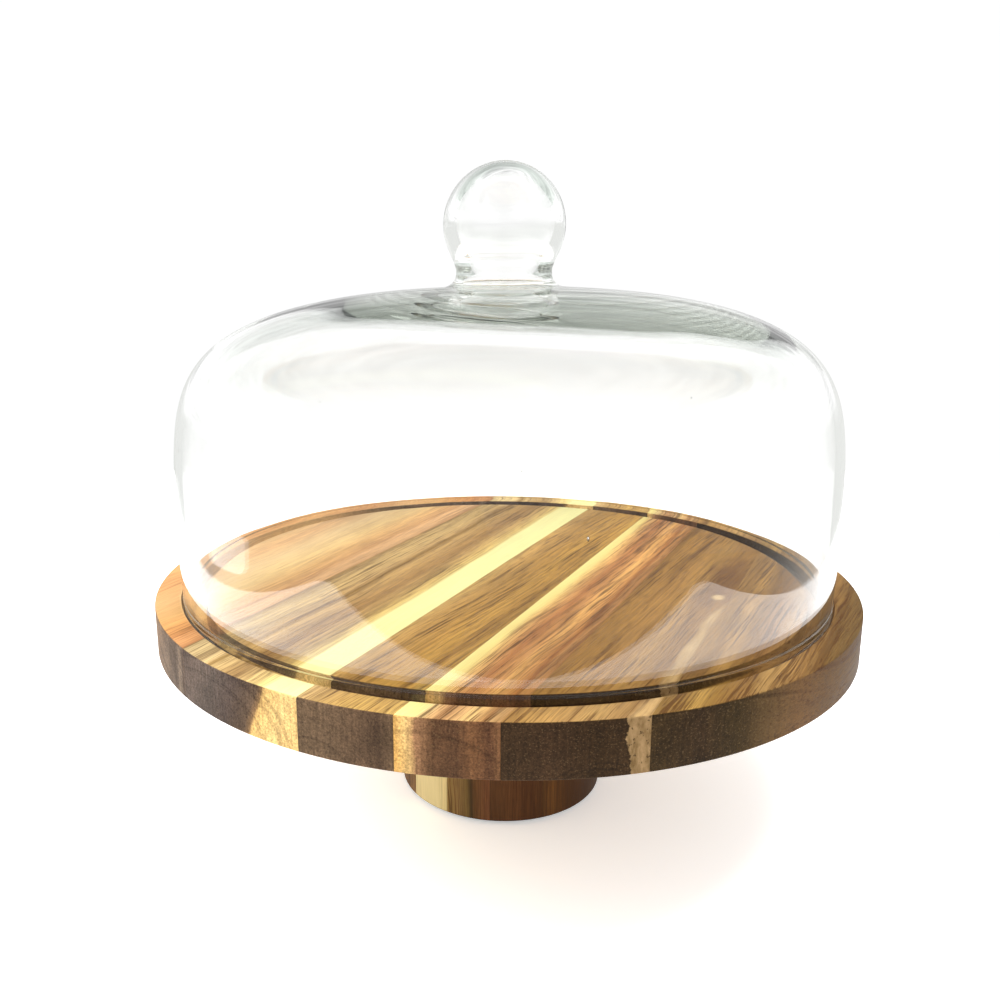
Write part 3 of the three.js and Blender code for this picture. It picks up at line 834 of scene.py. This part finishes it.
def pad_material():
    made, g = material("pad_rubber")
    place = g.node("ShaderNodeTexCoord").outputs["Object"]
    grain = g.noise(g.scaled(place, (2200, 2200, 2200)), detail=2)
    dust = g.remap(g.noise(g.scaled(place, (260, 260, 260)), detail=4), 0.45, 0.75)
    tone = g.mix(dust, (0.018, 0.018, 0.019), (0.06, 0.057, 0.052))
    rough = g.remap(dust, 0, 1, 0.62, 0.85)
    shader = g.node("ShaderNodeBsdfPrincipled", {
        "Base Color": tone, "Roughness": rough, "Normal": g.bump(grain, 0.06 * MM, 0.5)})
    finish_surface(g, shader.outputs[0])
    return made


def dress_cad_nodes():
    zinc = metal("zinc_steel", (0.62, 0.63, 0.65), 0.28)
    brass = metal("insert_brass", (0.70, 0.52, 0.24), 0.24)
    rubber = pad_material()
    beech_look = [(-20, "d8b183"), (0, "cfa676"), (30, "dcb98b")]
    beech = acacia("dowel_beech", -0.02, 0.03, beech_look, beech_look, 2.0, grain_axis="Z", lines=0.3)
    chosen = {"pedestal_bolt": zinc, "bolt_washer": zinc, "threaded_insert": brass,
              "dowel_pin_rear": beech, "dowel_pin_front": beech}
    chosen.update({name: rubber for name in PADS})
    for name, mat in chosen.items():
        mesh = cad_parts[name].data
        mesh.materials.clear()
        mesh.materials.append(mat)


# ---------------------------------------------------------------------------
# Floor, light and camera
# ---------------------------------------------------------------------------
FLOOR_GLOW = 0.4
INNER_LIGHT = 0.85  # even light that reaches the wood through the glass
CAMERA_DISTANCE = 410.8 * MM
CAMERA_HEIGHT = 129.4 * MM  # above the board's top face
CAMERA_AZIMUTH = 24.07  # degrees round from -Y towards +X
CAMERA_PITCH = 13.22
CAMERA_YAW = -3.40
CAMERA_ROLL = -0.36
FOCAL_IN_WIDTHS = 0.9335
SENSOR = 36.0
CAMERA_SHIFT = 0.0517
DEEP_GLASS_BOUNCES = 32
MOST_BOUNCES = 40


def toward_camera(x, y, z=0.0):
    """A place given as seen from the camera: x to its right, y away from it, round the object's axis."""
    a = math.radians(CAMERA_AZIMUTH - CAMERA_YAW)
    return (x * math.cos(a) - y * math.sin(a), x * math.sin(a) + y * math.cos(a), z)


def sheet(name, low, high, corner, mat):
    """A flat sheet with round corners on the floor, square to the camera."""
    bm = bmesh.new()
    corners = []
    (left, front), (right, back) = low, high
    for cx, cy, start in ((right, back, 0), (left, back, 90), (left, front, 180), (right, front, 270)):
        sx, sy = (-1 if cx == right else 1), (-1 if cy == back else 1)
        for px, py in arc((cx + sx * corner, cy + sy * corner), corner, start, start + 90, 8):
            corners.append(bm.verts.new(toward_camera(px, py)))
    bm.faces.new(corners)
    obj = mesh_object(name, bm)
    obj.data.materials.append(mat)


def make_floor():
    made, g = material("pale_floor")
    place = g.node("ShaderNodeTexCoord").outputs["Object"]
    tone = g.remap(g.noise(g.scaled(place, (3, 3, 3)), detail=2), 0.3, 0.7, 0.84, 0.88)
    shader = g.node("ShaderNodeBsdfPrincipled", {
        "Base Color": g.grey(tone), "Roughness": 0.9,
        "Emission Color": (1, 1, 1, 1), "Emission Strength": FLOOR_GLOW})
    finish_surface(g, shader.outputs[0])
    sheet("floor", (-0.47, -0.35), (0.47, 0.75), 0.05, made)
    sheet("floor_card", (-0.70, -0.06), (-0.52, 0.14), 0.04, made)


def make_world():
    """A white studio, bright behind the object and darker overhead and behind the camera.

    Gloss sees the structure, and so does light that is reflected inside the glass, a little brighter.
    The eye sees plain white, the view through the glass is nearly even, and diffuse light is even.
    """
    world = bpy.data.worlds.new("studio")
    world.use_nodes = True
    g = Graph(world.node_tree)
    direction = g.node("ShaderNodeTexCoord").outputs["Generated"]
    height = g.node("ShaderNodeSeparateXYZ", {"Vector": direction}).outputs["Z"]
    behind = g.remap(g.dot(direction, toward_camera(0, 1)), -0.25, 0.45, smooth=True)
    streak = g.noise(g.scaled(direction, (3, 3, 26)), detail=3, roughness=0.6)
    rays = g.node("ShaderNodeLightPath").outputs

    low = g.mix(behind, (0.3, 0.3, 0.3), (0.85, 0.86, 0.84))
    sky = g.ramp(height, [(0.0, (1.0, 1.0, 1.0)), (0.2, (0.95, 0.95, 0.95)), (0.34, (0.6, 0.64, 0.61)),
                          (0.46, (0.46, 0.5, 0.47)), (0.6, (0.5, 0.54, 0.51)), (0.72, (0.72, 0.75, 0.73)),
                          (0.86, (0.85, 0.85, 0.85))])
    side = g.math("ABSOLUTE", g.dot(direction, toward_camera(1, 0)))
    middle = g.remap(side, 0.05, 0.5, 0.72, 1.02, smooth=True)
    streak = g.math("MULTIPLY", g.remap(streak, 0.3, 0.7, 0.6, 1.4), middle)
    sky = g.mix(1.0, sky, g.grey(streak), "MULTIPLY")
    mirrored = g.mix(g.remap(height, 0.0, 0.04, smooth=True), low, sky)

    through = g.ramp(g.remap(height, -0.2, 0.2), [
        (0.0, (1.3, 1.3, 1.3)), (0.27, (1.15, 1.16, 1.15)), (0.35, (1.05, 1.06, 1.04)),
        (0.43, (1.0, 1.01, 0.99)), (0.5, (1.0, 1.01, 0.99)), (0.62, (1.1, 1.1, 1.1))])
    inner = g.mix(1.0, mirrored, g.grey(g.remap(height, 0.0, 0.15, 1.0, 1.5)), "MULTIPLY")
    through = g.mix(rays["Glossy Depth"], through, inner)
    inside = g.math("GREATER_THAN", rays["Diffuse Depth"], 0.5)
    through = g.mix(inside, through, (INNER_LIGHT, INNER_LIGHT, INNER_LIGHT))

    diffuse = g.ramp(g.remap(height, 0.0, 1.0), [(0.0, (1.15, 1.15, 1.15)), (1.0, (1.3, 1.3, 1.3))])
    mirror_ray = g.math("SUBTRACT", rays["Is Reflection Ray"], rays["Is Diffuse Ray"], clamp=True)
    color = g.mix(mirror_ray, diffuse, mirrored)
    color = g.mix(rays["Is Transmission Ray"], color, through)
    color = g.mix(rays["Is Camera Ray"], color, (1.02, 1.02, 1.02))
    background = g.node("ShaderNodeBackground", {"Color": color, "Strength": 1.0})
    out = g.node("ShaderNodeOutputWorld")
    g.feed(out.inputs["Surface"], background.outputs[0])
    bpy.context.scene.world = world


def area_light(name, place, target, size, power):
    """A square soft light that gloss and glass don't show."""
    data = bpy.data.lights.new(name, "AREA")
    data.size = size
    data.energy = power
    lamp = bpy.data.objects.new(name, data)
    lamp.location = toward_camera(*place)
    lamp.rotation_euler = (Vector(target) - lamp.location).to_track_quat("-Z", "Y").to_euler()
    lamp.visible_glossy = False
    lamp.visible_transmission = False
    bpy.context.scene.collection.objects.link(lamp)


def make_lights():
    middle = (0, 0, 0.12)
    area_light("overhead_box", (0.25, -0.25, 1.2), middle, 0.5, 13)
    area_light("left_key", (-1.0, -0.1, 0.9), middle, 0.9, 14.5)


def allow_deep_glass():
    """Light that is trapped in the thick crown bounces many times before it leaves."""
    cycles = bpy.context.scene.cycles
    cycles.max_bounces = MOST_BOUNCES
    cycles.glossy_bounces = DEEP_GLASS_BOUNCES
    cycles.transmission_bounces = DEEP_GLASS_BOUNCES


def make_camera():
    data = bpy.data.cameras.new("camera")
    data.sensor_width = SENSOR
    data.lens = FOCAL_IN_WIDTHS * SENSOR
    data.shift_x = CAMERA_SHIFT
    data.clip_start = 0.01
    camera = bpy.data.objects.new("camera", data)
    bpy.context.scene.collection.objects.link(camera)
    a = math.radians(CAMERA_AZIMUTH)
    heading = a - math.radians(CAMERA_YAW)
    pitch = math.radians(CAMERA_PITCH)
    level = math.cos(pitch)
    forward = Vector((-math.sin(heading) * level, math.cos(heading) * level, -math.sin(pitch)))
    away = CAMERA_DISTANCE
    camera.location = (away * math.sin(a), -away * math.cos(a), BOARD_TOP + CAMERA_HEIGHT)
    turn = forward.to_track_quat("-Z", "Y").to_matrix()
    roll = Matrix.Rotation(math.radians(CAMERA_ROLL), 3, "Z")
    camera.rotation_euler = (turn @ roll).to_euler()
    bpy.context.scene.camera = camera


make_camera()
make_floor()
make_world()
make_lights()
make_board()
make_pedestal()
make_glass()
dress_cad_nodes()
allow_deep_glass()
bpy.context.scene.view_settings.view_transform = "Standard"
